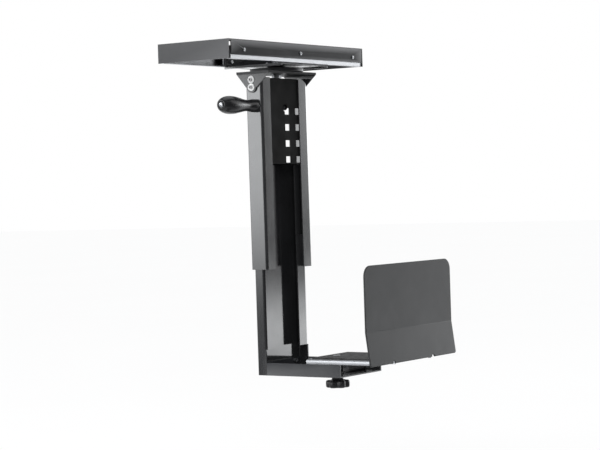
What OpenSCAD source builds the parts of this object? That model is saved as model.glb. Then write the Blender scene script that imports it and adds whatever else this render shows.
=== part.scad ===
// Under-desk computer holder: a track screwed under the desk, a carriage that
// slides along it, a swivelling head, a telescopic column and a tray with a
// sliding side paddle.
// Origin: centre of the track's top face. +X along the track, +Y towards the
// column's closed back, +Z up. Everything hangs below z = 0.

/* [Track] */
// Length of the track along X
track_l = 446; // [440:1:452]
// Width of the track along Y
track_w = 164; // [160:1:168]
// Height of the track's end panels
track_h = 36; // [35:0.5:38]
// Sheet thickness of the track frame
track_t = 2; // [1.5:0.1:2]
// Radius of the four desk screw holes
desk_hole_r = 2.75; // [2:0.05:3.2]
// Spacing of the desk screw holes along X
desk_hole_dx = 396; // [380:1:400]
// Spacing of the desk screw holes along Y
desk_hole_dy = 138; // [134:1:140]

/* [Head] */
// Swivel axis position along X
sx = 40; // [30:1:50]
// Radius of the swivel friction disc
disc_r = 52; // [44:1:54]
// Length of the head plate along X
head_l = 160; // [159.5:0.1:161]
// Width of the head plate along Y
head_w = 77; // [70:1:80]
// Thickness of the head plate
head_t = 4; // [3.5:0.1:4.5]

/* [Column] */
// Outer column width along X
col_w = 153.5; // [153.5:0.1:154]
// Outer column depth along Y
col_d = 38; // [38:0.1:38.2]
// Width of the outer column's lips, bend included
lip_w = 29; // [26:0.5:30]
// Outer bend radius of the channels
bend_r = 5.5; // [5:0.1:6]
// Sheet thickness of the channels
col_t = 2.5; // [2.4:0.1:2.6]
// Height of the outer column's top below the desk
col_top = 60; // [58:0.5:62]
// Height of the outer column's bottom below the desk
col_bot = 430; // [425:1:435]
// Inner column width along X
in_w = 143; // [142:0.5:143.4]
// Inner column depth along Y
in_d = 22.6; // [22:0.1:22.8]
// Height of the inner column's top end below the desk
in_top = 229; // [228:1:240]
// Height below the desk at which the inner column's lips stop
in_lip_end = 585; // [580:1:590]

/* [Tray] */
// Height of the tray's underside below the desk
tray_bot = 634; // [630:1:640]
// Height of the tray's side flanges
tray_h = 24.3; // [22:0.1:26]
// Distance from the origin to the tray's free end along -Y
tray_end = 175; // [172:1:180]

/* [Paddle] */
// Width of the paddle along X
pad_w = 304; // [290:1:310]
// Distance from the origin to the paddle along -Y
pad_y = 286; // [280:1:290]
// Height of the paddle's top edge below the desk
pad_top = 420; // [410:1:430]
// Height of the paddle's bend below the desk
pad_bend = 541; // [535:1:545]
// Sheet thickness of the paddle
pad_t = 3; // [2.5:0.1:3.2]

/* [Hidden] */
$fn = 64;
e = 0.01;
black = [0.12, 0.12, 0.13];
grey = [0.32, 0.33, 0.34];
zinc = [0.75, 0.76, 0.77];
hx = track_l / 2;
hy = track_w / 2;
rail_top = 12;                       // top of the zinc rails below the desk
rail_bot = 35.8;                     // bottom of the zinc rails
head_z = 48.8;                       // top face of the head plate below the desk
head_b = head_z + head_t;            // its underside
col_x0 = sx - col_w / 2;      // outer column's left face
col_y0 = -17.7;                      // its front face
in_x0 = sx - in_w / 2;        // inner column's left face
in_y0 = -5.4;                        // its front face
handle_y = -2;
handle_z = -115;
stud_x = 38;                         // clamp stud's axis
stud_y = -122;
tray_top = tray_bot - tray_h;        // top edge of the tray's flanges
arm_top = tray_top - 0.3 - 8.7;      // top face of the paddle's arm
arm_x0 = in_x0 + 1.5;
arm_w = in_w - 3;
arm_rear = -97;
pad_x0 = sx - pad_w / 2 - 1.5;
flare = 8;                           // how far the paddle's foot flares outwards

// rectangle with rounded corners made of true arcs
module rrect(w, d, r) {
    translate([r, 0]) square([w - 2 * r, d]);
    translate([0, r]) square([w, d - 2 * r]);
    for (x = [r, w - r], y = [r, d - r]) translate([x, y]) circle(r);
}
// lipped C-channel profile, open towards -Y
module c_profile(w, d, t, r, lip) {
    difference() {
        rrect(w, d, r);
        translate([t, t]) rrect(w - 2 * t, d - 2 * t, r - t);
        translate([lip, -1]) square([w - 2 * lip, t + 2]);
    }
}
// countersunk-free pan head along +Z, head at z = 0 upwards
module pan_screw(r, l, hr, hh) {
    translate([0, 0, -l]) cylinder(r = r, h = l + e);
    difference() {
        union() {
            cylinder(r = hr, h = hh * 0.6);
            translate([0, 0, hh * 0.6]) cylinder(r1 = hr, r2 = hr * 0.7, h = hh * 0.4);
        }
        for (a = [0, 90]) rotate([0, 0, a])
            translate([-hr * 0.55, -hr * 0.12, hh * 0.45]) cube([hr * 1.1, hr * 0.24, hh]);
    }
}
module hex_prism(af, h) { cylinder(r = af / sqrt(3), h = h, $fn = 6); }

module track_frame() {
    color(black) difference() {
        union() {
            // top flange ring that lies against the desk
            difference() {
                translate([-hx, -hy, -track_t]) cube([track_l, track_w, track_t]);
                translate([-hx + 38, -hy + 26, -track_t - 1])
                    cube([track_l - 76, track_w - 52, track_t + 2]);
            }
            // end panels
            for (x = [-hx, hx - track_t])
                translate([x, -hy, -track_h]) cube([track_t, track_w, track_h]);
            // side panels, stopping short of the zinc rails' lower edge
            for (y = [-hy, hy - track_t])
                translate([-hx + 9, y, -28.6]) cube([track_l - 13, track_t, 28.6]);
        }
        // desk screw holes
        for (x = [-1, 1], y = [-1, 1])
            translate([x * desk_hole_dx / 2, y * desk_hole_dy / 2, -track_t - 1])
                cylinder(r = desk_hole_r, h = track_t + 2);
        // rail screw holes in the side panels
        for (x = [-175.4, 5.8, 186.7], s = [-1, 1])
            translate([x, s * (hy - track_t / 2), -18.6]) rotate([90, 0, 0])
                cylinder(r = 2.1, h = 6, center = true);
    }
}
// zinc rail, C open towards the track's middle; s = -1 front, 1 rear
module slide_rail(s) {
    y0 = hy - track_t - 1.3;
    color(zinc) difference() {
        union() {
            for (z = [-rail_top - 1.2, -rail_bot])
                translate([-hx + 9, s > 0 ? y0 - 9.4 : -y0 - 1.3, z]) cube([track_l - 13, 10.7, 1.2]);
            translate([-hx + 9, s > 0 ? y0 : -y0 - 1.3, -rail_bot])
                cube([track_l - 13, 1.3, rail_bot - rail_top]);
        }
        for (x = [-175.4, 5.8, 186.7])
            translate([x, s * y0, -18.6]) rotate([90, 0, 0]) cylinder(r = 2.1, h = 8, center = true);
    }
}
module slide_rail_front() { slide_rail(-1); }
module slide_rail_rear() { slide_rail(1); }
module rail_screws() {
    color(zinc) for (x = [-175.4, 5.8, 186.7], s = [-1, 1])
        translate([x, s * hy, -18.6]) rotate([s * -90, 0, 0]) pan_screw(2, 4.5, 3.6, 2.2);
}
// rubber blocks that stop the runners at both ends of each rail
module end_bumpers() {
    color([0.05, 0.05, 0.05]) for (x = [-hx + 9.5, hx - 4 - 8.5], s = [-1, 1])
        translate([x, s > 0 ? hy - track_t - 1.3 - 9.9 : -hy + track_t + 1.3, -rail_bot + 1.3])
            cube([8, 9.9, rail_bot - rail_top - 2.6]);
}

// bridge plate under the two rails, with a turned-down flange at each end
car_x0 = -38;
car_l = 156;
module carriage_plate() {
    color(grey) difference() {
        union() {
            translate([car_x0, -hy + 14, -38.6]) cube([car_l, track_w - 28, 2.4]);
            for (x = [car_x0, car_x0 + car_l - 2.4])
                translate([x, -hy + 14, -41]) cube([2.4, track_w - 28, 4.8]);
            // legs up to the runners
            for (s = [-1, 1])
                translate([car_x0, s > 0 ? hy - 17.4 : -hy + 15, -38.6])
                    cube([car_l, 2.4, 24]);
        }
        translate([sx, 0, -50]) cylinder(r = 6.05, h = 20);
        for (x = [car_x0 + 20, car_x0 + car_l - 20], s = [-1, 1])
            translate([x, s * (hy - 16.2), -26]) rotate([90, 0, 0]) cylinder(r = 2.05, h = 8, center = true);
        // lightening slots beside the swivel
        for (s = [-1, 1]) translate([car_x0 + 40, s * 60 - 4, -45]) cube([car_l - 80, 8, 12]);
    }
}
// zinc runner, C open towards its rail
module slide_runner(s) {
    y1 = hy - 15;
    color(zinc) difference() {
        union() {
            translate([car_x0 - 6, s > 0 ? y1 : -y1 - 1.6, -33.9]) cube([car_l + 12, 1.6, 20]);
            for (z = [-33.9, -15.5])
                translate([car_x0 - 6, s > 0 ? y1 : -y1 - 10, z]) cube([car_l + 12, 10, 1.6]);
        }
        for (x = [car_x0 + 20, car_x0 + car_l - 20])
            translate([x, s * y1, -26]) rotate([90, 0, 0]) cylinder(r = 2.05, h = 8, center = true);
    }
}
module slide_runner_front() { slide_runner(-1); }
module slide_runner_rear() { slide_runner(1); }
module runner_rivets() {
    color(zinc) for (x = [car_x0 + 20, car_x0 + car_l - 20], s = [-1, 1])
        translate([x, s * (hy - 13.4), -26]) rotate([s * -90, 0, 0]) {
            translate([0, 0, -4]) cylinder(r = 2, h = 4 + e);
            cylinder(r = 3.4, h = 1.2);
            translate([0, 0, -5.2]) cylinder(r = 3.4, h = 1.2);
        }
}
module swivel_disc() {
    color([0.06, 0.06, 0.07]) translate([sx, 0, -48.5]) difference() {
        union() {
            cylinder(r = disc_r, h = 7);
            translate([0, 0, 7 - e]) cylinder(r = 18, h = 2.9 + e);
        }
        translate([0, 0, -1]) cylinder(r = 6.05, h = 14);
        translate([0, 0, -1]) difference() {
            cylinder(r = disc_r - 6, h = 3);
            translate([0, 0, -1]) cylinder(r = 18, h = 5);
        }
    }
}

// head plate with two turned-down triangular gussets
module gusset(x) {
    translate([x, 0, 0]) rotate([90, 0, 90]) linear_extrude(height = 2.6) difference() {
        union() {
            polygon([[-head_w / 2, -head_b + 0.2], [head_w / 2, -head_b + 0.2], [16, -79.5], [-9, -79.5]]);
            translate([3.5, -79.2]) circle(10.4);
            polygon([[-9.5, -78], [16.3, -78], [13.9, -79.2], [-6.9, -79.2]]);
        }
        for (z = [-64.6, -79.2]) translate([3.5, z]) circle(3.1);
    }
}
module head_bracket() {
    color(grey) {
        difference() {
            translate([sx - head_l / 2, -head_w / 2, -head_b]) cube([head_l, head_w, head_t]);
            translate([sx, 0, -head_b - 1]) cylinder(r = 6.05, h = head_t + 2);
        }
        gusset(sx - head_l / 2);
        gusset(sx + head_l / 2 - 2.6);
    }
}
module swivel_bolt() {
    color(zinc) translate([sx, 0, 0]) {
        translate([0, 0, -head_b - 1.8 - e]) cylinder(r = 5.97, h = head_b + 1.8 + e - 24.5);
        translate([0, 0, -head_b - 1.8 - 5]) hex_prism(17, 5);
    }
}
module swivel_washer() {
    color(zinc) translate([sx, 0, 0]) {
        translate([0, 0, -head_b - 1.8]) difference() {
            cylinder(r = 12, h = 1.8); translate([0, 0, -1]) cylinder(r = 6.05, h = 4); }
        translate([0, 0, -35.9]) difference() {
            cylinder(r = 12, h = 1.8); translate([0, 0, -1]) cylinder(r = 6.05, h = 4); }
    }
}
module swivel_nut() {
    color(zinc) translate([sx, 0, -34]) difference() {
        hex_prism(19, 8);
        translate([0, 0, -1]) cylinder(r = 6.05, h = 10);
    }
}
// screws through gusset and column wall, heads outside
module bracket_bolts() {
    color(black) for (s = [-1, 1], z = [-64.6, -79.2])
        translate([sx + s * (head_l / 2 + 1.3), 3.5, z]) rotate([0, s * 90, 0]) {
            translate([0, 0, -8.6]) cylinder(r = 3, h = 8.6 + e);
            difference() {
                cylinder(r = 3.6, h = 2.2);
                translate([0, 0, 0.9]) hex_prism(3.4, 3);
            }
            translate([0, 0, -10]) difference() { hex_prism(9, 2.9); translate([0,0,-1]) cylinder(r = 3.02, h = 5); }
        }
}
module bracket_washers() {
    color([0.9, 0.9, 0.9]) for (s = [-1, 1], z = [-64.6, -79.2])
        translate([sx + s * head_l / 2, 3.5, z]) rotate([0, s * 90, 0]) difference() {
            cylinder(r = 7.2, h = 1.3);
            translate([0, 0, -1]) cylinder(r = 3.1, h = 4);
        }
}

module outer_column() {
    color(grey) difference() {
        translate([col_x0, col_y0, -col_bot]) linear_extrude(height = col_bot - col_top)
            c_profile(col_w, col_d, col_t, bend_r, lip_w);
        // window in the back wall behind the perforated plate
        translate([sx + 40, col_y0 + col_d - 4, -224]) cube([24, 8, 122]);
        // gusset screws
        for (z = [-64.6, -79.2]) translate([sx, 3.5, z]) rotate([0, 90, 0])
            cylinder(r = 3.1, h = 200, center = true);
        // handle bush
        translate([col_x0 - 5, handle_y, handle_z]) rotate([0, 90, 0]) cylinder(r = 9, h = 12);
    }
}
// perforated plate fixed behind the outer column's lips
module lock_plate() {
    y0 = col_y0 + col_t;
    color([0.05, 0.05, 0.06]) difference() {
        translate([col_x0 + col_t + 3.2, y0 + 0.02, -226.7]) cube([col_w - 2 * col_t - 6.4, 2, 165.5]);
        for (i = [0:3], x = [50.5, 84]) translate([x - 8, y0 - 2, -124.8 - 31.4 * i - 6.3]) cube([16, 6, 12.6]);
        translate([43.5, y0 + 4, -118.5]) rotate([90, 0, 0]) cylinder(r = 7, h = 8);
    }
}
// plastic glides between the two channels at the outer column's lower end
module glide_liners() {
    xi = col_x0 + col_t;
    color([0.08, 0.08, 0.09]) for (m = [0, 1])
        translate([m ? 2 * sx : 0, 0, 0]) mirror([m, 0, 0]) {
            translate([xi + 0.02, col_y0 + bend_r, -427]) cube([in_x0 - xi - 0.35, 26, 60]);
            translate([xi + 3.1, col_y0 + col_t + 0.02, -427]) cube([18, in_y0 - col_y0 - col_t - 0.35, 60]);
            translate([xi + 0.02, col_y0 + bend_r, -427]) cube([8, in_y0 - col_y0 - bend_r - 0.35, 60]);
        }
}
module shaft_bush() {
    color(black) translate([col_x0, handle_y, handle_z]) rotate([0, 90, 0]) difference() {
        union() {
            translate([0, 0, -1.6]) cylinder(r = 12.6, h = 1.6);
            translate([0, 0, -e]) cylinder(r = 8.97, h = 8);
        }
        translate([0, 0, -4]) cylinder(r = 6.05, h = 20);
    }
}
// turned grip: hub, waist, bulge and rounded end, along -X from the column wall
module handle_grip() {
    color([0.07, 0.07, 0.08]) translate([col_x0 - 2.2, handle_y, handle_z]) rotate([0, -90, 0])
        rotate_extrude() difference() {
            union() {
                polygon([[6, 0], [11.6, 0], [12.4, 0.8], [12.5, 4], [12.3, 9], [11.7, 14], [11.1, 19], [10.8, 24],
                    [10.9, 29], [11.4, 34], [12.2, 40], [13.2, 46], [14.3, 52], [15.3, 58], [16.2, 64],
                    [16.8, 70], [17.1, 76], [17.1, 82], [16.6, 88], [15.6, 94], [14.1, 99], [12.2, 103],
                    [10.2, 105.4], [8.4, 106.2], [6, 106.2]]);
            }
        }
}
module handle_shaft() {
    color(zinc) translate([col_x0 - 2.2, handle_y, handle_z]) {
        rotate([0, -90, 0]) cylinder(r = 5.98, h = 101);
        rotate([0, 90, 0]) cylinder(r = 5.98, h = 97);
    }
}
// cheese-head screw in the grip's end
module handle_screw() {
    color([0.85, 0.86, 0.87]) translate([col_x0 - 2.2 - 101.2, handle_y, handle_z]) rotate([0, -90, 0]) difference() {
        union() { cylinder(r = 5.6, h = 5.8); translate([0, 0, 5.8 - e]) cylinder(r1 = 5.6, r2 = 4.4, h = 1.2); }
        translate([-7, -0.7, 4.6]) cube([14, 1.4, 4]);
    }
}
// steel collar that keeps the shaft in its bush, with a nut at the shaft's end
module shaft_collar() {
    color(zinc) {
        translate([col_x0 + 8.3, handle_y, handle_z]) rotate([0, 90, 0]) difference() {
            cylinder(r = 9.5, h = 6);
            translate([0, 0, -1]) cylinder(r = 6, h = 9);
        }
        translate([col_x0 - 2.2 + 90, handle_y, handle_z]) rotate([0, 90, 0]) difference() {
            cylinder(r = 7.6, h = 9);
            translate([0, 0, -1]) cylinder(r = 6, h = 8.2);
        }
    }
}

module inner_column() {
    color(grey) difference() {
        union() {
            translate([in_x0, in_y0, -tray_bot]) linear_extrude(height = tray_bot - in_top)
                c_profile(in_w, in_d, col_t, bend_r, lip_w);
            for (x = [in_x0, in_x0 + in_w - col_t])
                translate([x, in_y0, -tray_bot]) cube([col_t, bend_r + 1, tray_bot - in_lip_end]);
        }
        // lips stop above the tray and only the flat side walls go on
        translate([in_x0 + col_t, in_y0 - 1, -tray_bot - 1]) cube([in_w - 2 * col_t, bend_r + 1, tray_bot - in_lip_end + 1]);
        for (x = [in_x0 + 22, in_x0 + in_w - 22])
            translate([x, in_y0 + in_d + 2, -616]) rotate([90, 0, 0]) cylinder(r = 2.6, h = 8);
    }
}
// U-shaped tray with a slot in its floor and an upstand against the column
module tray() {
    y1 = in_y0 + in_d - col_t - 0.05;
    color(grey) difference() {
        union() {
            translate([in_x0 + col_t + 0.05, -tray_end, -tray_bot]) cube([in_w - 2 * col_t - 0.1, tray_end + y1, 2.5]);
            for (x = [in_x0, in_x0 + in_w - col_t])
                translate([x, -tray_end, -tray_bot]) cube([col_t, tray_end + in_y0 - 0.05, tray_h]);
            for (x = [in_x0 + e, in_x0 + in_w - col_t - e])
                translate([x, -tray_end, -tray_bot]) cube([col_t, tray_end + in_y0 - 0.05, 2.5]);
            translate([in_x0, -tray_end, -tray_bot]) cube([in_w, tray_end + in_y0 - 0.05, 2.5]);
            // upstand screwed to the column's back wall
            translate([in_x0 + bend_r + 0.5, y1 - 2.5, -tray_bot]) cube([in_w - 2 * bend_r - 1, 2.5, 24]);
        }
        // rear floor corners cleared for the column's bends
        for (x = [in_x0 + col_t + 0.05, in_x0 + in_w - col_t - 0.05])
            translate([x, y1, -tray_bot - 1]) rotate([0, 0, 45]) cube([4.8, 4.8, 8], center = true);
        // floor slot for the clamp stud
        translate([stud_x - 4.3, stud_y - 30, -tray_bot - 1]) cube([8.6, 118, 5]);
        for (x = [in_x0 + 22, in_x0 + in_w - 22])
            translate([x, y1 + 3, -616]) rotate([90, 0, 0]) cylinder(r = 2.6, h = 8);
    }
}
module tray_screws() {
    y1 = in_y0 + in_d;
    color(zinc) for (x = [in_x0 + 22, in_x0 + in_w - 22])
        translate([x, y1, -616]) rotate([-90, 0, 0]) {
            pan_screw(2.5, 7.5, 4.4, 2.4);
            translate([0, 0, -8]) difference() { hex_prism(8, 2.9); translate([0,0,-1]) cylinder(r = 2.52, h = 5); }
        }
}

// bent sheet: tall plate, flared foot and the arm that lies on the tray
module paddle_outline() {
    r = 20;
    difference() {
        union() {
            translate([r, 0]) square([pad_w - 2 * r, pad_bend - pad_top]);
            square([pad_w, pad_bend - pad_top - r]);
            for (x = [r, pad_w - r]) translate([x, pad_bend - pad_top - r]) circle(r);
        }
    }
}
module paddle() {
    zb = -pad_bend;
    za = -arm_top;
    a = atan(flare / (arm_top - pad_bend));
    len = sqrt(pow(flare, 2) + pow(arm_top - pad_bend, 2));
    color(grey) difference() {
        union() {
            // upright plate
            translate([pad_x0, -pad_y, zb]) rotate([90, 0, 0]) linear_extrude(height = pad_t) paddle_outline();
            // flared foot, with rounded lower corners
            translate([pad_x0, -pad_y, zb]) rotate([-a, 0, 0]) rotate([90, 0, 0])
                translate([0, -len - 2.6, 0]) linear_extrude(height = pad_t) union() {
                    translate([5, 0]) square([pad_w - 10, len + 2.6]);
                    translate([0, 5]) square([pad_w, len - 2.4]);
                    for (x = [5, pad_w - 5]) translate([x, 5]) circle(5);
                }
            // wedge that closes the outer side of the bend
            translate([pad_x0, -pad_y, zb]) rotate([90, 0, 90]) linear_extrude(height = pad_w)
                polygon([[-pad_t, 0.5], [-0.5, 0.5], [-0.5, -1], [-pad_t - 0.06, -1]]);
            // arm: inverted channel
            translate([arm_x0, -pad_y - flare - 1.2, za - pad_t]) cube([arm_w, pad_y + flare + 1.2 + arm_rear, pad_t]);
            // its side flanges, tapering away before the paddle
            for (x = [arm_x0, arm_x0 + arm_w - 2.5])
                translate([x, 0, 0]) rotate([90, 0, 90]) linear_extrude(height = 2.5)
                    polygon([[arm_rear, -tray_top + 0.3], [arm_rear, za], [-268, za],
                        [-262, za - pad_t], [-236, -tray_top + 0.3]]);
        }
        // round bend relief notches at both ends of the arm's bend
        for (x = [arm_x0 - 3, arm_x0 + arm_w - 4.2])
            translate([x, -pad_y - flare - 1, za - 2.3]) rotate([90, 0, 0]) cylinder(r = 4.5, h = 14, center = true);
        // stud hole
        translate([stud_x, stud_y, za - 6]) cylinder(r = 4.1, h = 9);
    }
}
// guide that rides between the tray's flanges and carries the stud
module guide_block() {
    color(black) difference() {
        union() {
            translate([in_x0 + col_t + 0.4, stud_y - 18, -tray_bot + 2.8])
                cube([in_w - 2 * col_t - 0.8, 36, 3]);
            for (x = [in_x0 + col_t + 0.4, in_x0 + in_w - col_t - 3.4])
                translate([x, stud_y - 18, -tray_bot + 2.8]) cube([3, 36, tray_h - 6]);
            translate([stud_x, stud_y, -tray_bot + 2.8])
                cylinder(r = 11, h = tray_bot - 2.8 - arm_top - pad_t);
        }
        translate([stud_x, stud_y, -tray_bot]) cylinder(r = 4.02, h = 60);
    }
}
module arm_pad() {
    color([0.04, 0.04, 0.04]) difference() {
        translate([arm_x0 + 8, -pad_y + 8, -arm_top]) cube([arm_w - 16, pad_y - 8 + arm_rear - 8, 3]);
        translate([stud_x, stud_y, -arm_top - 1]) cylinder(r = 9, h = 6);
    }
}
module clamp_stud() {
    color(zinc) translate([stud_x, stud_y, 0]) {
        translate([0, 0, -tray_bot - 22]) cylinder(r = 4, h = 22 + tray_bot - arm_top + e);
        translate([0, 0, -arm_top]) difference() {
            cylinder(r = 7.5, h = 2.6);
            translate([0, 0, 1]) hex_prism(5, 3);
        }
    }
}
module knob_washer() {
    color(zinc) translate([stud_x, stud_y, -tray_bot - 1.9]) difference() {
        cylinder(r = 11, h = 1.6);
        translate([0, 0, -1]) cylinder(r = 4.05, h = 4);
    }
}
// star knob with six lobes and a round neck
module star_knob() {
    color([0.06, 0.06, 0.07]) translate([stud_x, stud_y, -tray_bot - 2.2]) difference() {
        union() {
            translate([0, 0, -9.5]) cylinder(r = 10.5, h = 9.3);
            translate([0, 0, -24]) linear_extrude(height = 15) difference() {
                circle(23);
                for (i = [0:5]) rotate(i * 60 + 30) translate([26.2, 0]) circle(8.4);
            }
        }
        translate([0, 0, -21]) cylinder(r = 7, h = 30);
    }
}
module knob_insert() {
    color([0.7, 0.6, 0.3]) translate([stud_x, stud_y, -tray_bot - 2.2]) difference() {
        translate([0, 0, -20.9]) cylinder(r = 6.98, h = 20.7);
        translate([0, 0, -30]) cylinder(r = 4.05, h = 40);
    }
}

track_frame();
slide_rail_front();
slide_rail_rear();
rail_screws();
end_bumpers();
carriage_plate();
slide_runner_front();
slide_runner_rear();
runner_rivets();
swivel_disc();
head_bracket();
swivel_bolt();
swivel_washer();
swivel_nut();
bracket_bolts();
bracket_washers();
outer_column();
lock_plate();
glide_liners();
shaft_bush();
handle_grip();
handle_screw();
handle_shaft();
shaft_collar();
inner_column();
tray();
tray_screws();
paddle();
guide_block();
arm_pad();
clamp_stud();
knob_washer();
star_knob();
knob_insert();
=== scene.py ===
import math
import bpy
import bmesh
from mathutils import Matrix, Vector


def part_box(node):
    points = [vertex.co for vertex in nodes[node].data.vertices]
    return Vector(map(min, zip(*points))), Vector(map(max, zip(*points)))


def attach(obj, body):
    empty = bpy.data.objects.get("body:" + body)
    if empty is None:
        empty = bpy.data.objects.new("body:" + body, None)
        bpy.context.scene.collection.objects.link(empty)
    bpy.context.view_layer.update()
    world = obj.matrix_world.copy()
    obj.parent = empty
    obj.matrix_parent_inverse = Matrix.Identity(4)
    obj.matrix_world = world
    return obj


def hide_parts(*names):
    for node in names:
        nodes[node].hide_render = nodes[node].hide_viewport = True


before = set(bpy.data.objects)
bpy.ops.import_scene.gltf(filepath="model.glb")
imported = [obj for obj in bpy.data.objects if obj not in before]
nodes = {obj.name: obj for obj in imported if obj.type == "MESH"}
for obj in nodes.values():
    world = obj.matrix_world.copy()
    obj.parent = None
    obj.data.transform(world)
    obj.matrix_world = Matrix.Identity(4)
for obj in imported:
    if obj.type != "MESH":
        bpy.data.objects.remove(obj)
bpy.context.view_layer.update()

scene = bpy.context.scene


# ---------------------------------------------------------------- camera
def make_camera():
    az, pitch, roll = (math.radians(v) for v in (-55.06, 1.04, 1.85))
    fwd = Vector((-math.sin(az) * math.cos(pitch), math.cos(az) * math.cos(pitch), -math.sin(pitch)))
    right = Vector((math.cos(az), math.sin(az), 0.0))
    up = right.cross(fwd)
    r2 = right * math.cos(roll) - up * math.sin(roll)
    u2 = up * math.cos(roll) + right * math.sin(roll)
    m = Matrix((r2, u2, -fwd)).transposed().to_4x4()
    m.translation = Vector((-2.9716, -2.1481, -0.2804))
    data = bpy.data.cameras.new("camera")
    data.sensor_width = 36.0
    data.lens = 1893.0 / 600.0 * 36.0
    data.clip_end = 60.0
    cam = bpy.data.objects.new("camera", data)
    scene.collection.objects.link(cam)
    cam.matrix_world = m
    scene.camera = cam


make_camera()


# ---------------------------------------------------------------- node helpers
def new_mat(name):
    m = bpy.data.materials.new(name)
    m.use_nodes = True
    nt = m.node_tree
    nt.nodes.clear()
    out = nt.nodes.new("ShaderNodeOutputMaterial")
    b = nt.nodes.new("ShaderNodeBsdfPrincipled")
    nt.links.new(b.outputs[0], out.inputs["Surface"])
    return m, nt, b


def coords(nt):
    return nt.nodes.new("ShaderNodeTexCoord").outputs["Object"]


def noise(nt, scale, detail=4.0, rough=0.5, stretch=(1, 1, 1)):
    mp = nt.nodes.new("ShaderNodeMapping")
    mp.inputs["Scale"].default_value = stretch
    nt.links.new(coords(nt), mp.inputs["Vector"])
    n = nt.nodes.new("ShaderNodeTexNoise")
    n.inputs["Scale"].default_value = scale
    n.inputs["Detail"].default_value = detail
    n.inputs["Roughness"].default_value = rough
    nt.links.new(mp.outputs[0], n.inputs["Vector"])
    return n.outputs["Fac"]


def ramp(nt, fac, stops):
    r = nt.nodes.new("ShaderNodeValToRGB")
    els = r.color_ramp.elements
    while len(els) < len(stops):
        els.new(0.5)
    for el, (p, c) in zip(els, stops):
        el.position = p
        el.color = (c[0], c[1], c[2], 1) if not isinstance(c, float) else (c, c, c, 1)
    nt.links.new(fac, r.inputs[0])
    return r.outputs[0]


def rng(nt, fac, a, b, lo, hi):
    m = nt.nodes.new("ShaderNodeMapRange")
    m.inputs["From Min"].default_value = a
    m.inputs["From Max"].default_value = b
    m.inputs["To Min"].default_value = lo
    m.inputs["To Max"].default_value = hi
    nt.links.new(fac, m.inputs["Value"])
    return m.outputs[0]


def bump(nt, b, fac, strength, dist):
    n = nt.nodes.new("ShaderNodeBump")
    n.inputs["Strength"].default_value = strength
    n.inputs["Distance"].default_value = dist
    nt.links.new(fac, n.inputs["Height"])
    nt.links.new(n.outputs[0], b.inputs["Normal"])
    return n


# pointiness mask for a painted edge highlight
def edge_highlight_mask(nt, lo=0.54, hi=0.62):
    g = nt.nodes.new("ShaderNodeNewGeometry")
    return rng(nt, g.outputs["Pointiness"], lo, hi, 0.0, 1.0)


def mix(nt, fac, a, b):
    m = nt.nodes.new("ShaderNodeMix")
    m.data_type = "RGBA"
    if isinstance(fac, float):
        m.inputs[0].default_value = fac
    else:
        nt.links.new(fac, m.inputs[0])
    for i, v in ((6, a), (7, b)):
        if isinstance(v, tuple):
            m.inputs[i].default_value = (v[0], v[1], v[2], 1)
        else:
            nt.links.new(v, m.inputs[i])
    return m.outputs[2]


# ---------------------------------------------------------------- materials
def powder_coat(name, dark=(0.012, 0.0125, 0.0135), light=(0.022, 0.0225, 0.024), r0=0.2, r1=0.3, spec=0.8, coat=0.5, edge_highlight_grey=0.10):
    """Black powder coat: fine orange peel, slight gloss changes, thin painted highlight on edges."""
    m, nt, b = new_mat(name)
    tone = ramp(nt, noise(nt, 14, 5), [(0.3, dark), (0.75, light)])
    # painted highlight: sharp edges and bends get a lighter base colour
    edge_highlight_fac = edge_highlight_mask(nt, 0.56, 0.66)
    b.inputs["Roughness"].default_value = r0
    nt.links.new(mix(nt, edge_highlight_fac, tone, (edge_highlight_grey, edge_highlight_grey * 1.01, edge_highlight_grey * 1.04)), b.inputs["Base Color"])
    nt.links.new(rng(nt, noise(nt, 26, 3), 0.3, 0.7, r0, r1), b.inputs["Roughness"])
    b.inputs["Specular IOR Level"].default_value = spec
    b.inputs["Coat Weight"].default_value = coat
    b.inputs["Coat Roughness"].default_value = 0.12
    bump(nt, b, noise(nt, 620, 2), 0.035, 0.0002)
    return m


def zinc(name, tone=(0.62, 0.63, 0.65), stretch=(1, 30, 30), r=0.26):
    """Zinc-plated steel with drawn streaks."""
    m, nt, b = new_mat(name)
    n = noise(nt, 60, 4, 0.6, stretch)
    d = tuple(c * 0.72 for c in tone)
    nt.links.new(ramp(nt, n, [(0.3, d), (0.7, tone)]), b.inputs["Base Color"])
    b.inputs["Metallic"].default_value = 1.0
    nt.links.new(rng(nt, n, 0.3, 0.7, r, r + 0.14), b.inputs["Roughness"])
    bump(nt, b, noise(nt, 220, 3, 0.6, stretch), 0.08, 0.0002)
    return m


def plastic(name, dark=(0.012, 0.012, 0.013), light=(0.022, 0.022, 0.024), r=0.34, grain=1700, strength=0.1, spec=0.5):
    """Moulded plastic with a fine spark-eroded grain."""
    m, nt, b = new_mat(name)
    nt.links.new(ramp(nt, noise(nt, 20, 4), [(0.3, dark), (0.7, light)]), b.inputs["Base Color"])
    nt.links.new(rng(nt, noise(nt, 40, 3), 0.3, 0.7, r - 0.05, r + 0.08), b.inputs["Roughness"])
    b.inputs["Specular IOR Level"].default_value = spec
    bump(nt, b, noise(nt, grain, 2), strength, 0.0002)
    return m


def rubber(name):
    m, nt, b = new_mat(name)
    nt.links.new(ramp(nt, noise(nt, 60, 5), [(0.3, (0.012, 0.012, 0.012)), (0.75, (0.03, 0.03, 0.031))]), b.inputs["Base Color"])
    nt.links.new(rng(nt, noise(nt, 90, 3), 0.3, 0.7, 0.62, 0.8), b.inputs["Roughness"])
    b.inputs["Specular IOR Level"].default_value = 0.3
    bump(nt, b, noise(nt, 900, 3), 0.25, 0.0004)
    return m


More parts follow.
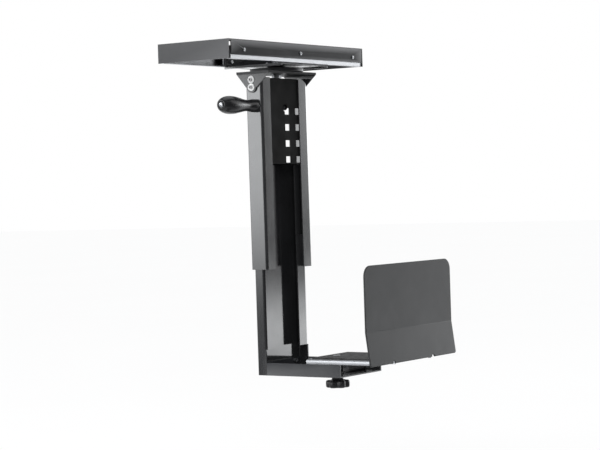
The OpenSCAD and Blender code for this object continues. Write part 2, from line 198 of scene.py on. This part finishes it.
M_STEEL = powder_coat("powder_black", r0=0.10, r1=0.15, spec=1.0, coat=0.7)
M_HEAD = powder_coat("powder_head", r0=0.2, r1=0.28, spec=0.5, coat=0.2)
# the track's edges get a brighter painted highlight
M_TRACK = powder_coat("powder_track", r0=0.22, r1=0.27, spec=0.13, coat=0.0, edge_highlight_grey=0.25)
# the plate itself is duller than its turned-down cheeks
_nt = M_HEAD.node_tree
_b = next(n for n in _nt.nodes if n.type == "BSDF_PRINCIPLED")
_sep = _nt.nodes.new("ShaderNodeSeparateXYZ")
_nt.links.new(coords(_nt), _sep.inputs[0])
_nt.links.new(rng(_nt, _sep.outputs["Z"], -0.0548, -0.0532, 0.24, 0.7), _b.inputs["Roughness"])
M_INNER = powder_coat("powder_black_gloss", r0=0.07, r1=0.11)
M_TRAY = powder_coat("powder_blue_black", dark=(0.014, 0.015, 0.0175), light=(0.021, 0.0225, 0.026), r0=0.13, r1=0.19, spec=0.6, coat=0.2)
# the paddle's edges get a dim painted highlight
M_PADDLE = powder_coat("powder_satin", dark=(0.026, 0.027, 0.028), light=(0.036, 0.037, 0.038), r0=0.20, r1=0.25, spec=0.2, coat=0.0, edge_highlight_grey=0.11)
M_PLATE = powder_coat("phosphate_black", dark=(0.005, 0.005, 0.005), light=(0.01, 0.01, 0.01), r0=0.55, r1=0.7, spec=0.08, coat=0.0)
M_ZINC = zinc("zinc_drawn")
M_ZINC_T = zinc("zinc_turned", stretch=(1, 1, 1), r=0.2)
M_PLASTIC = plastic("plastic_black")
M_GRIP = plastic("plastic_grip", dark=(0.008, 0.008, 0.009), light=(0.014, 0.014, 0.015), r=0.24, strength=0.05, spec=0.5)
# the bracket washers' white base colour stands in for their bright highlight: painted highlight
M_WASHER_PAINTED_HIGHLIGHT = plastic("washer_white_painted_highlight", dark=(0.78, 0.78, 0.78), light=(0.9, 0.9, 0.9), r=0.4, grain=900, strength=0.04)
M_RUBBER = rubber("rubber_black")
M_ARM = zinc("arm_plated", tone=(0.48, 0.49, 0.51), stretch=(30, 1, 30), r=0.42)
M_BRASS = zinc("brass_turned", tone=(0.72, 0.52, 0.2), stretch=(1, 1, 1), r=0.25)

BY_NODE = {
    "track_frame": M_TRACK, "slide_rail_front": M_ZINC, "slide_rail_rear": M_ZINC, "rail_screws": M_ZINC_T,
    "end_bumpers": M_RUBBER, "carriage_plate": M_STEEL, "slide_runner_front": M_ZINC, "slide_runner_rear": M_ZINC,
    "runner_rivets": M_ZINC_T, "swivel_disc": M_PLASTIC, "head_bracket": M_HEAD, "swivel_bolt": M_ZINC_T,
    "swivel_washer": M_ZINC_T, "swivel_nut": M_ZINC_T, "bracket_bolts": M_STEEL, "bracket_washers": M_WASHER_PAINTED_HIGHLIGHT,
    "outer_column": M_STEEL, "lock_plate": M_PLATE, "glide_liners": M_PLASTIC, "shaft_bush": M_PLASTIC,
    "handle_grip": M_GRIP, "handle_screw": M_ZINC_T, "handle_shaft": M_ZINC_T, "shaft_collar": M_ZINC_T,
    "inner_column": M_INNER, "tray": M_TRAY, "tray_screws": M_ZINC_T, "paddle": M_PADDLE,
    "guide_block": M_PLASTIC, "arm_pad": M_RUBBER, "clamp_stud": M_ZINC_T, "knob_washer": M_ZINC_T,
    "star_knob": M_PLASTIC, "knob_insert": M_BRASS,
}
for n, o in nodes.items():
    o.data.materials.clear()
    o.data.materials.append(BY_NODE[n])
    for p in o.data.polygons:
        p.use_smooth = True


def bevel(o, width=0.0005, seg=2, angle=35):
    w = o.modifiers.new("weld", "WELD")
    w.merge_threshold = 0.000002
    d = o.modifiers.new("planar", "DECIMATE")
    d.decimate_type = "DISSOLVE"
    d.angle_limit = math.radians(0.6)
    m = o.modifiers.new("edge", "BEVEL")
    m.width = width
    m.segments = seg
    m.limit_method = "ANGLE"
    m.angle_limit = math.radians(angle)
    m.harden_normals = True
    m.use_clamp_overlap = True
    n = o.modifiers.new("normals", "WEIGHTED_NORMAL")
    n.keep_sharp = True
    n.weight = 80


for n, w in (("track_frame", 0.0007), ("carriage_plate", 0.0005), ("head_bracket", 0.0006), ("outer_column", 0.0008),
             ("inner_column", 0.0008), ("tray", 0.0009), ("swivel_disc", 0.0006), ("end_bumpers", 0.0006),
             ("slide_rail_front", 0.0003), ("slide_rail_rear", 0.0003), ("slide_runner_front", 0.0003),
             ("slide_runner_rear", 0.0003), ("rail_screws", 0.00025), ("runner_rivets", 0.0002), ("swivel_bolt", 0.0004),
             ("swivel_nut", 0.0004), ("swivel_washer", 0.0002), ("bracket_bolts", 0.0002), ("bracket_washers", 0.0003),
             ("glide_liners", 0.0004), ("shaft_bush", 0.0003), ("shaft_collar", 0.0003), ("tray_screws", 0.0002),
             ("guide_block", 0.0004), ("arm_pad", 0.0006), ("clamp_stud", 0.0003), ("knob_washer", 0.0002),
             ("lock_plate", 0.0003), ("knob_insert", 0.0002), ("handle_shaft", 0.0004)):
    bevel(nodes[n], w)


# ---------------------------------------------------------------- mesh helpers
def add_mesh(name, verts, faces, mat, smooth=True):
    me = bpy.data.meshes.new(name)
    me.from_pydata([tuple(v) for v in verts], [], faces)
    me.validate()
    me.update()
    if mat:
        me.materials.append(mat)
    for p in me.polygons:
        p.use_smooth = smooth
    o = bpy.data.objects.new(name, me)
    scene.collection.objects.link(o)
    return o


def apply_all(o):
    bpy.context.view_layer.update()
    dg = bpy.context.evaluated_depsgraph_get()
    me = bpy.data.meshes.new_from_object(o.evaluated_get(dg))
    old = o.data
    o.modifiers.clear()
    o.data = me
    bpy.data.meshes.remove(old)


def flat_big_faces(o, area=4e-4):
    for p in o.data.polygons:
        p.use_smooth = p.area < area


def catmull(pts, per=6):
    out = []
    for i in range(len(pts) - 1):
        p0, p1 = pts[max(i - 1, 0)], pts[i]
        p2, p3 = pts[i + 1], pts[min(i + 2, len(pts) - 1)]
        for k in range(per):
            t = k / per
            out.append(tuple(0.5 * (2 * b + (c - a) * t + (2 * a - 5 * b + 4 * c - d) * t * t
                                    + (3 * b - a - 3 * c + d) * t ** 3) for a, b, c, d in zip(p0, p1, p2, p3)))
    out.append(tuple(pts[-1]))
    return out


def lathe(name, profile, origin, axis, mat, seg=72):
    """Closed solid of revolution: profile is [(r, h), ...] from the axis out and back to it."""
    z = Vector(axis).normalized()
    x = z.orthogonal().normalized()
    y = z.cross(x)
    o = Vector(origin)
    verts, faces, rings = [], [], []
    for r, h in profile:
        if r < 1e-7:
            rings.append([len(verts)])
            verts.append(o + z * h)
        else:
            rings.append(list(range(len(verts), len(verts) + seg)))
            for k in range(seg):
                a = 2 * math.pi * k / seg
                verts.append(o + z * h + (x * math.cos(a) + y * math.sin(a)) * r)
    for a, b in zip(rings, rings[1:]):
        for k in range(seg):
            k2 = (k + 1) % seg
            if len(a) == 1:
                faces.append((a[0], b[k2], b[k]))
            elif len(b) == 1:
                faces.append((a[k], a[k2], b[0]))
            else:
                faces.append((a[k], a[k2], b[k2], b[k]))
    obj = add_mesh(name, verts, faces, mat)
    bm = bmesh.new()
    bm.from_mesh(obj.data)
    bmesh.ops.recalc_face_normals(bm, faces=bm.faces)
    bm.to_mesh(obj.data)
    bm.free()
    return obj


# ---------------------------------------------------------------- handle grip
lo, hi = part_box("handle_grip")
root_x = hi.x
cy, cz = (lo.y + hi.y) / 2, (lo.z + hi.z) / 2
length = hi.x - lo.x
prof = [(11.4, 0.0), (12.15, 0.35), (12.45, 1.3), (12.5, 4), (12.3, 9), (11.7, 14), (11.1, 19), (10.8, 24), (10.9, 29),
        (11.4, 34), (12.2, 40), (13.2, 46), (14.3, 52), (15.3, 58), (16.2, 64), (16.8, 70), (17.08, 76), (17.08, 82),
        (16.6, 88), (15.5, 94), (14.0, 98.8), (12.1, 102.6), (10.2, 104.9), (8.6, 105.9), (7.6, 106.2)]
sm = catmull(prof, 5)
sm = [(r / 1000, h / 1000) for r, h in sm]
sm = [(0.0061, 0.0)] + sm + [(0.0069, 0.1060), (0.0066, 0.1054), (0.0064, 0.1005), (0.0061, 0.1003)]
grip = lathe("handle_grip_turned", sm + [sm[0]], (root_x, cy, cz), (-1, 0, 0), M_GRIP, 96)
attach(grip, "handle")
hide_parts("handle_grip")

# ---------------------------------------------------------------- grip end screw with a cross recess
lo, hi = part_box("handle_screw")
hx0, hlen = hi.x, hi.x - lo.x
prof = [(0.0, 0.0), (5.5, 0.0), (5.6, 0.3), (5.6, 3.6), (5.45, 4.6), (5.0, 5.6), (4.1, 6.3), (2.9, 6.75), (1.5, 6.95), (0.0, 7.0)]
sm = [(r / 1000, h / 1000) for r, h in prof]
screw = lathe("handle_screw_head", sm, (hx0, cy, cz), (-1, 0, 0), M_ZINC_T, 64)
cut = add_mesh("cut", [], [], None)
bm = bmesh.new()
for a in (0.4, 0.4 + math.pi / 2):
    g = bmesh.ops.create_cube(bm, size=1.0)
    bmesh.ops.scale(bm, verts=g["verts"], vec=(0.006, 0.0074, 0.0012))
    bmesh.ops.rotate(bm, verts=g["verts"], matrix=Matrix.Rotation(a, 3, "X"))
    bmesh.ops.translate(bm, verts=g["verts"], vec=(hx0 - 0.0078, cy, cz))
bm.to_mesh(cut.data)
bm.free()
bo = screw.modifiers.new("b", "BOOLEAN")
bo.object = cut
bo.operation = "DIFFERENCE"
bo.solver = "EXACT"
bo.use_self = True
apply_all(screw)
bpy.data.objects.remove(cut)
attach(screw, "handle")
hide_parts("handle_screw")


# ---------------------------------------------------------------- star knob
def star_knob():
    lo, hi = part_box("star_knob")
    c = (lo + hi) / 2
    top, bot = hi.z, lo.z
    seg = 216
    R1 = (hi.x - lo.x) / 2 - 0.00012
    R0 = R1 - 0.0047

    def lobe(a):
        # radius of a six-lobed outline, in metres
        t = 0.5 + 0.5 * math.cos(6 * a)
        return R0 + (R1 - R0) * (t ** 0.62)

    rows = []
    # outer skin from the top neck down, round the lobes and under the face
    def circ(r, z):
        rows.append([Vector((c.x + r * math.cos(2 * math.pi * k / seg), c.y + r * math.sin(2 * math.pi * k / seg), z)) for k in range(seg)])

    def star(off, z):
        rows.append([Vector((c.x + max(lobe(2 * math.pi * k / seg) + off, 0.002) * math.cos(2 * math.pi * k / seg),
                             c.y + max(lobe(2 * math.pi * k / seg) + off, 0.002) * math.sin(2 * math.pi * k / seg), z)) for k in range(seg)])

    circ(0.00705, top - 0.0002)
    circ(0.0076, top)
    circ(0.0098, top)
    circ(0.0104, top - 0.0006)
    circ(0.0106, top - 0.004)
    circ(0.0112, top - 0.0078)
    circ(0.0128, top - 0.0088)
    h = top - 0.0092
    star(-0.0045, h)
    star(-0.0022, h - 0.0003)
    star(-0.0009, h - 0.0012)
    star(-0.0002, h - 0.0026)
    star(0.0, h - 0.0045)
    star(0.0, bot + 0.0045)
    star(-0.0003, bot + 0.0024)
    star(-0.0011, bot + 0.0010)
    star(-0.0026, bot + 0.0002)
    star(-0.0048, bot)
    circ(0.0125, bot)
    circ(0.0118, bot + 0.0008)
    circ(0.0112, bot + 0.0010)
    circ(0.006, bot + 0.0007)
    verts = [v for r in rows for v in r]
    faces = []
    for i in range(len(rows) - 1):
        for k in range(seg):
            k2 = (k + 1) % seg
            faces.append((i * seg + k, (i + 1) * seg + k, (i + 1) * seg + k2, i * seg + k2))
    n = len(verts)
    verts.append(Vector((c.x, c.y, bot + 0.0006)))
    last = (len(rows) - 1) * seg
    for k in range(seg):
        faces.append((last + k, n, last + (k + 1) % seg))
    # inner wall and floor of the insert's seat
    inner0 = len(verts)
    for z in (top - 0.0002, top - 0.0207):
        for k in range(seg):
            a = 2 * math.pi * k / seg
            verts.append(Vector((c.x + 0.007 * math.cos(a), c.y + 0.007 * math.sin(a), z)))
    for k in range(seg):
        k2 = (k + 1) % seg
        faces.append((inner0 + k, inner0 + seg + k, inner0 + seg + k2, inner0 + k2))
        faces.append((k, inner0 + k, inner0 + k2, k2))
    m = len(verts)
    verts.append(Vector((c.x, c.y, top - 0.0207)))
    for k in range(seg):
        faces.append((inner0 + seg + k, m, inner0 + seg + (k + 1) % seg))
    o = add_mesh("star_knob_moulded", verts, faces, M_PLASTIC)
    bm = bmesh.new()
    bm.from_mesh(o.data)
    bmesh.ops.remove_doubles(bm, verts=bm.verts, dist=1e-7)
    bmesh.ops.recalc_face_normals(bm, faces=bm.faces)
    bm.to_mesh(o.data)
    bm.free()
    return o


knob = star_knob()
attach(knob, "clamp_knob")
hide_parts("star_knob")


# ---------------------------------------------------------------- paddle: one bent sheet
def paddle():
    lo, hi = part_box("paddle")
    T = 0.003
    W = hi.x - lo.x
    top = hi.z
    z_bend = -0.541
    arm_top = -0.6007
    y_face = -0.286               # inner face of the upright plate
    flare = 0.008
    drop = abs(arm_top - z_bend)
    ang = math.atan2(flare, drop)
    foot = math.hypot(flare, drop) + 0.0026
    up = top - z_bend
    R = 0.020                     # radius of the top corners
    r2 = 0.005
    x0, x1 = lo.x, hi.x
    ax0, ax1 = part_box("arm_pad")[0].x - 0.008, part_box("arm_pad")[1].x + 0.008
    # flat pattern: u along X, v up from the foot's lower edge
    H = foot + up

    def arc(cx, cy, r, a0, a1, n=10):
        return [(cx + r * math.cos(a0 + (a1 - a0) * i / n), cy + r * math.sin(a0 + (a1 - a0) * i / n)) for i in range(n + 1)]

    pts = arc(x0 + r2, r2, r2, math.pi, 1.5 * math.pi)
    for cx in (ax0 - 0.003, ax1 - 0.0042):
        pts += [(cx - 0.0045 * math.cos(math.pi * t / 12), 0.0045 * math.sin(math.pi * t / 12)) for t in range(13)]
    pts += arc(x1 - r2, r2, r2, -0.5 * math.pi, 0)
    pts += arc(x1 - R, H - R, R, 0, 0.5 * math.pi)
    pts += arc(x0 + R, H - R, R, 0.5 * math.pi, math.pi)
    bm = bmesh.new()
    vs = [bm.verts.new((u, 0, v)) for u, v in pts]
    bm.faces.new(vs)
    RB = 0.005                    # bend radius
    v_b = foot
    half = RB * ang / 2
    cuts = [v_b - half + half * 2 * i / 8 for i in range(9)]
    for v in cuts:
        geom = bm.verts[:] + bm.edges[:] + bm.faces[:]
        bmesh.ops.bisect_plane(bm, geom=geom, plane_co=(0, 0, v), plane_no=(0, 0, 1))
    def place(u, v):
        d = v - v_b
        if d >= half:
            return (u, y_face, z_bend + d)
        if d <= -half:
            q = -d
            return (u, y_face - math.sin(ang) * q, z_bend - math.cos(ang) * q)
        # circular blend between the two straight runs
        t = (half - d) / (2 * half)
        s = 2 * half
        a = ang * t
        p0 = (y_face, z_bend + half)
        return (u, p0[0] - RB * (1 - math.cos(a)), p0[1] - RB * math.sin(a)) if s > 0 else (u, p0[0], p0[1])

    for v in bm.verts:
        x, y, z = place(v.co.x, v.co.z)
        v.co = (x, y, z)
    me = bpy.data.meshes.new("paddle_sheet")
    bm.to_mesh(me)
    bm.free()
    o = bpy.data.objects.new("paddle_sheet", me)
    scene.collection.objects.link(o)
    me.materials.append(M_PADDLE)
    s = o.modifiers.new("solid", "SOLIDIFY")
    s.thickness = T
    s.offset = 1.0
    s.use_even_offset = True
    apply_all(o)
    # make sure the thickness lies outwards (towards -Y)
    ys = [v.co.y for v in o.data.vertices if v.co.z > -0.5]
    if max(ys) > y_face + 0.0005:
        for v in o.data.vertices:
            v.co.y -= T
    b = o.modifiers.new("edge", "BEVEL")
    b.width = 0.0009
    b.segments = 3
    b.limit_method = "ANGLE"
    b.angle_limit = math.radians(40)
    apply_all(o)
    if "custom_normal" in o.data.attributes:
        o.data.attributes.remove(o.data.attributes["custom_normal"])
    flat_big_faces(o)
    return o, (ax0, ax1, arm_top, T)


pad, (ax0, ax1, arm_top, T) = paddle()
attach(pad, "side_clamp")


def arm():
    """Inverted channel with round bends, bent from the same sheet as the paddle."""
    y1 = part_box("arm_pad")[1].y + 0.008
    y0 = -0.2945
    z0 = arm_top - 0.0087
    r = 0.0042
    path = []
    n = 6
    path.append((ax0, z0))
    for i in range(n + 1):
        a = math.pi - (math.pi / 2) * i / n
        path.append((ax0 + r + r * math.cos(a), arm_top - r + r * math.sin(a)))
    for i in range(n + 1):
        a = math.pi / 2 - (math.pi / 2) * i / n
        path.append((ax1 - r + r * math.cos(a), arm_top - r + r * math.sin(a)))
    path.append((ax1, z0))
    inner = []
    ri = r - 0.0025
    inner.append((ax0 + 0.0025, z0))
    for i in range(n + 1):
        a = math.pi - (math.pi / 2) * i / n
        inner.append((ax0 + r + ri * math.cos(a), arm_top - r + ri * math.sin(a)))
    for i in range(n + 1):
        a = math.pi / 2 - (math.pi / 2) * i / n
        inner.append((ax1 - r + ri * math.cos(a), arm_top - r + ri * math.sin(a)))
    inner.append((ax1 - 0.0025, z0))
    ring = path + inner[::-1]
    m = len(ring)
    # stations along Y; a small quarter bend turns the top sheet down into the paddle
    st = [y0, -0.2885, -0.2884, -0.262, -0.236, -0.2, -0.14, y1]
    verts, faces = [], []
    for y in st:
        lift = 0.0044 * min(max((-0.236 - y) / 0.026, 0.0), 1.0)
        trim = 0.0088 if y < -0.28845 else 0.0
        for x, z in ring:
            side = x - trim if x > (ax0 + ax1) / 2 else x + trim * 0.2
            verts.append((side, y, z + lift if z <= z0 + 1e-9 else z))
    for i in range(len(st) - 1):
        for k in range(m):
            k2 = (k + 1) % m
            faces.append((i * m + k, i * m + k2, (i + 1) * m + k2, (i + 1) * m + k))
    h = len(path)
    for base in (0, (len(st) - 1) * m):
        for k in range(h - 1):
            faces.append((base + k, base + k + 1, base + m - 2 - k, base + m - 1 - k))
    o = add_mesh("paddle_arm", verts, faces, M_ARM)
    bm = bmesh.new()
    bm.from_mesh(o.data)
    bmesh.ops.recalc_face_normals(bm, faces=bm.faces)
    bm.to_mesh(o.data)
    bm.free()
    b = o.modifiers.new("edge", "BEVEL")
    b.width = 0.0005
    b.segments = 2
    b.limit_method = "ANGLE"
    b.angle_limit = math.radians(50)
    apply_all(o)
    if "custom_normal" in o.data.attributes:
        o.data.attributes.remove(o.data.attributes["custom_normal"])
    flat_big_faces(o)
    return o


arm_o = arm()
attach(arm_o, "side_clamp")
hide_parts("paddle")


# ---------------------------------------------------------------- stage
def plane(name, size, z):
    o = add_mesh(name, [(-size, -size, z), (size, -size, z), (size, size, z), (-size, size, z)], [(0, 1, 2, 3)], None, False)
    return o


m, nt, b = new_mat("floor_pale")
nt.links.new(ramp(nt, noise(nt, 1.2, 3), [(0.3, (0.88, 0.88, 0.88)), (0.7, (0.92, 0.92, 0.92))]), b.inputs["Base Color"])
b.inputs["Roughness"].default_value = 0.9
b.inputs["Specular IOR Level"].default_value = 0.0
lpf = nt.nodes.new("ShaderNodeLightPath")
floor_painted_glow = nt.nodes.new("ShaderNodeEmission")
floor_painted_glow.inputs["Strength"].default_value = 0.16
eye = nt.nodes.new("ShaderNodeEmission")
eye.inputs["Strength"].default_value = 1.0
mxf = nt.nodes.new("ShaderNodeMixShader")
outf = next(n for n in nt.nodes if n.type == "OUTPUT_MATERIAL")
mxe = nt.nodes.new("ShaderNodeMixShader")
mxe.inputs[0].default_value = 0.86
sepf = nt.nodes.new("ShaderNodeVectorMath")
sepf.operation = "LENGTH"
nt.links.new(coords(nt), sepf.inputs[0])
# painted pool of light: for every ray but camera rays the floor glows, brighter near the middle, and lights the object
# from below
nt.links.new(rng(nt, sepf.outputs["Value"], 0.95, 1.5, 0.42, 0.12), floor_painted_glow.inputs["Strength"])
nt.links.new(b.outputs[0], mxe.inputs[1])
nt.links.new(eye.outputs[0], mxe.inputs[2])
nt.links.new(lpf.outputs["Is Camera Ray"], mxf.inputs[0])
nt.links.new(floor_painted_glow.outputs[0], mxf.inputs[1])
nt.links.new(mxe.outputs[0], mxf.inputs[2])
gf = nt.nodes.new("ShaderNodeNewGeometry")
see = nt.nodes.new("ShaderNodeMixShader")
thru = nt.nodes.new("ShaderNodeBsdfTransparent")
nt.links.new(gf.outputs["Backfacing"], see.inputs[0])
nt.links.new(mxf.outputs[0], see.inputs[1])
nt.links.new(thru.outputs[0], see.inputs[2])
nt.links.new(see.outputs[0], outf.inputs["Surface"])
floor = plane("floor", 20.0, -0.800)
floor.data.materials.append(m)
floor.visible_glossy = False      # reflections see the studio below

# world: a white studio for the eye, and for reflections bright side banks with a darker camera side
w = bpy.data.worlds.new("studio")
scene.world = w
w.use_nodes = True
nt = w.node_tree
nt.nodes.clear()
out = nt.nodes.new("ShaderNodeOutputWorld")
tc = nt.nodes.new("ShaderNodeTexCoord")


def lobe_of(direction, lo_dot, hi_dot, value):
    d = nt.nodes.new("ShaderNodeVectorMath")
    d.operation = "DOT_PRODUCT"
    nt.links.new(tc.outputs["Generated"], d.inputs[0])
    d.inputs[1].default_value = Vector(direction).normalized()
    mr = nt.nodes.new("ShaderNodeMapRange")
    mr.interpolation_type = "SMOOTHSTEP"
    mr.inputs["From Min"].default_value = lo_dot
    mr.inputs["From Max"].default_value = hi_dot
    mr.inputs["To Min"].default_value = 0.0
    mr.inputs["To Max"].default_value = value
    nt.links.new(d.outputs["Value"], mr.inputs["Value"])
    return mr.outputs[0]


def addv(a, b):
    n = nt.nodes.new("ShaderNodeMath")
    n.operation = "ADD"
    for i, v in enumerate((a, b)):
        if isinstance(v, float):
            n.inputs[i].default_value = v
        else:
            nt.links.new(v, n.inputs[i])
    return n.outputs[0]


sep = nt.nodes.new("ShaderNodeSeparateXYZ")
nt.links.new(tc.outputs["Generated"], sep.inputs[0])


def by_height(value, z0, z1, v0, v1):
    mr = nt.nodes.new("ShaderNodeMapRange")
    mr.interpolation_type = "SMOOTHSTEP"
    for k, v in (("From Min", z0), ("From Max", z1), ("To Min", v0), ("To Max", v1)):
        mr.inputs[k].default_value = v
    nt.links.new(sep.outputs["Z"], mr.inputs["Value"])
    n = nt.nodes.new("ShaderNodeMath")
    n.operation = "MULTIPLY"
    nt.links.new(value, n.inputs[0])
    nt.links.new(mr.outputs[0], n.inputs[1])
    return n.outputs[0]


total = addv(0.12, by_height(lobe_of((-0.82, 0.57, 0.0), 0.60, 0.95, 3.5), -0.075, 0.01, 0.03, 1.0))
right_bank = by_height(lobe_of((0.9925, -0.122, 0.0), 0.860, 0.945, 4.3), -0.06, 0.05, 0.12, 1.0)
total = addv(total, by_height(right_bank, 0.07, 0.20, 1.0, 0.15))
low = by_height(lobe_of((0.93, -0.37, -0.07), 0.88, 0.985, 3.6), -0.104, -0.080, 0.0, 1.0)
total = addv(total, by_height(low, -0.072, -0.040, 1.0, 0.0))
total = addv(total, lobe_of((0.82, 0.57, 0.0), 0.3, 0.95, 0.8))
total = addv(total, lobe_of((0.0, 0.0, -1.0), 0.25, 0.9, 0.7))
total = addv(total, lobe_of((0.0, 0.0, 1.0), 0.45, 0.95, 0.9))
bg1 = nt.nodes.new("ShaderNodeBackground")
nt.links.new(total, bg1.inputs["Strength"])
bg1.inputs["Color"].default_value = (0.97, 0.985, 1.0, 1)
bg2 = nt.nodes.new("ShaderNodeBackground")
bg2.inputs["Color"].default_value = (1, 1, 1, 1)
bg2.inputs["Strength"].default_value = 1.0
lp = nt.nodes.new("ShaderNodeLightPath")
mx = nt.nodes.new("ShaderNodeMixShader")
nt.links.new(lp.outputs["Is Camera Ray"], mx.inputs[0])
nt.links.new(bg1.outputs[0], mx.inputs[1])
nt.links.new(bg2.outputs[0], mx.inputs[2])
nt.links.new(mx.outputs[0], out.inputs["Surface"])


def area(name, loc, target, size, power, size_y=None, glossy=True):
    d = bpy.data.lights.new(name, "AREA")
    d.energy = power
    d.shape = "RECTANGLE"
    d.size = size
    d.size_y = size_y or size
    o = bpy.data.objects.new(name, d)
    scene.collection.objects.link(o)
    o.location = loc
    o.rotation_euler = (Vector(target) - Vector(loc)).to_track_quat("-Z", "Y").to_euler()
    o.visible_glossy = glossy
    return o


area("key_left", (-2.4, 1.9, 1.1), (0, 0, -0.3), 1.6, 14, 2.0)
area("fill_right", (2.2, -1.9, 1.2), (0, -0.1, -0.35), 1.6, 10, 2.0)
area("front_soft", (-2.4, -1.7, 0.3), (0, -0.1, -0.35), 1.6, 60, 2.0, False)
scene.view_settings.view_transform = "Standard"
